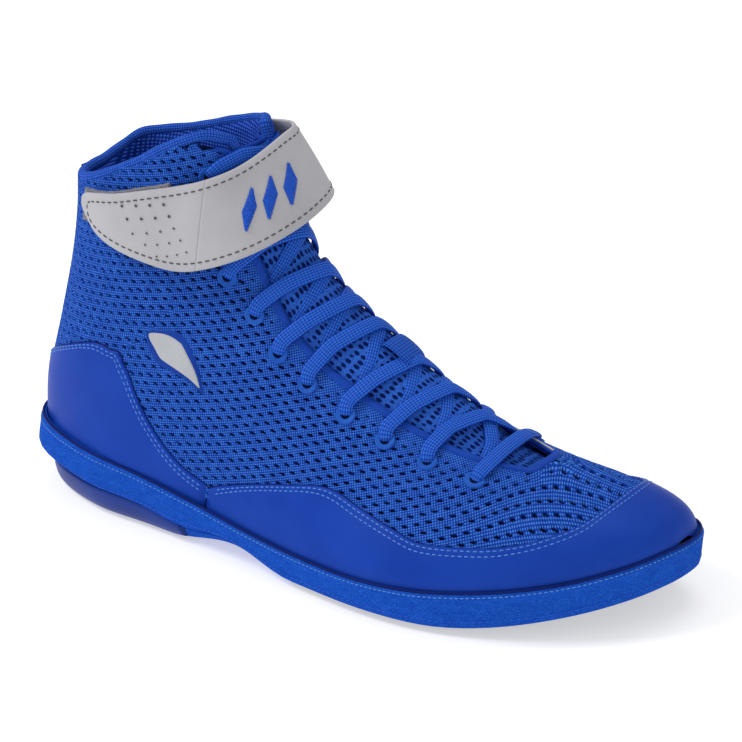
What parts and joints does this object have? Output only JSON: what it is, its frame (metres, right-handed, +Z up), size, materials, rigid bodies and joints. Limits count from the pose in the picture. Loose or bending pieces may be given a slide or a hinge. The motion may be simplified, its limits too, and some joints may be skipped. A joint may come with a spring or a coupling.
{
  "type": "boxing boot",
  "caption": "High-top lace-up boxing boot for the right foot, mesh upper, suede rand, split sole and hook-and-loop ankle strap.",
  "frame": {"origin": "on the ground under the middle of the heel, at the centre of the heel tread", "axes": "+X towards the toe, +Y towards the inner side of the foot, +Z up"},
  "size_m": [0.2875, 0.1095, 0.1648],
  "materials": {
    "mesh": "open mesh knit",
    "lining": "fine knit",
    "overlay": "smooth synthetic, satin",
    "suede": "napped suede",
    "piping": "woven",
    "binding": "smooth stretch binding",
    "lace": "braided",
    "eyelet": "welded film",
    "aglet": "clear",
    "strap": "matte synthetic",
    "tape": "hook and loop tape",
    "mark": "printed film",
    "embroidery": "satin stitch",
    "rubber": "matte",
    "foam": "foam",
    "board": "pressed fibre"
  },
  "bodies": {
    "boot": {"heel_tread": "rubber", "forefoot_tread": "rubber", "heel_pod": "rubber", "forefoot_pod": "rubber", "suede_arch": "suede", "midsole": "foam", "suede_rand": "suede", "rand_piping": "piping", "insole_board": "board", "sockliner": "lining", "heel_counter": "board", "vamp_mesh": "mesh", "quarter_mesh_lateral": "mesh", "quarter_mesh_medial": "mesh", "vamp_lining": "lining", "quarter_lining_lateral": "lining", "quarter_lining_medial": "lining", "forefoot_overlay": "overlay", "heel_overlay": "overlay", "collar_padding": "lining", "collar_binding": "binding", "tongue": "mesh", "tongue_loop": "binding", "eyelets_lateral": "eyelet", "eyelets_medial": "eyelet", "lace": "lace", "aglets": "aglet", "loop_patch": "tape", "side_mark": "mark", "strap_base": "strap"},
    "strap_wrap": {"strap_front": "strap", "strap_motif": "embroidery"},
    "strap_tail": {"strap_tip": "strap", "hook_tape": "tape"}
  },
  "joints": [
    {"name": "strap_swing", "type": "hinge", "parent": "boot", "child": "strap_wrap", "pos_m": [0.0755, 0.02325, 0.14925], "axis": [-0.613, -0.016, 0.79], "range_deg": [0, 125]},
    {"name": "strap_peel", "type": "hinge", "parent": "strap_wrap", "child": "strap_tail", "pos_m": [0.04975, -0.03275, 0.12975], "axis": [0.015, 0.104, 0.9945], "range_deg": [0, 80]}
  ]
}
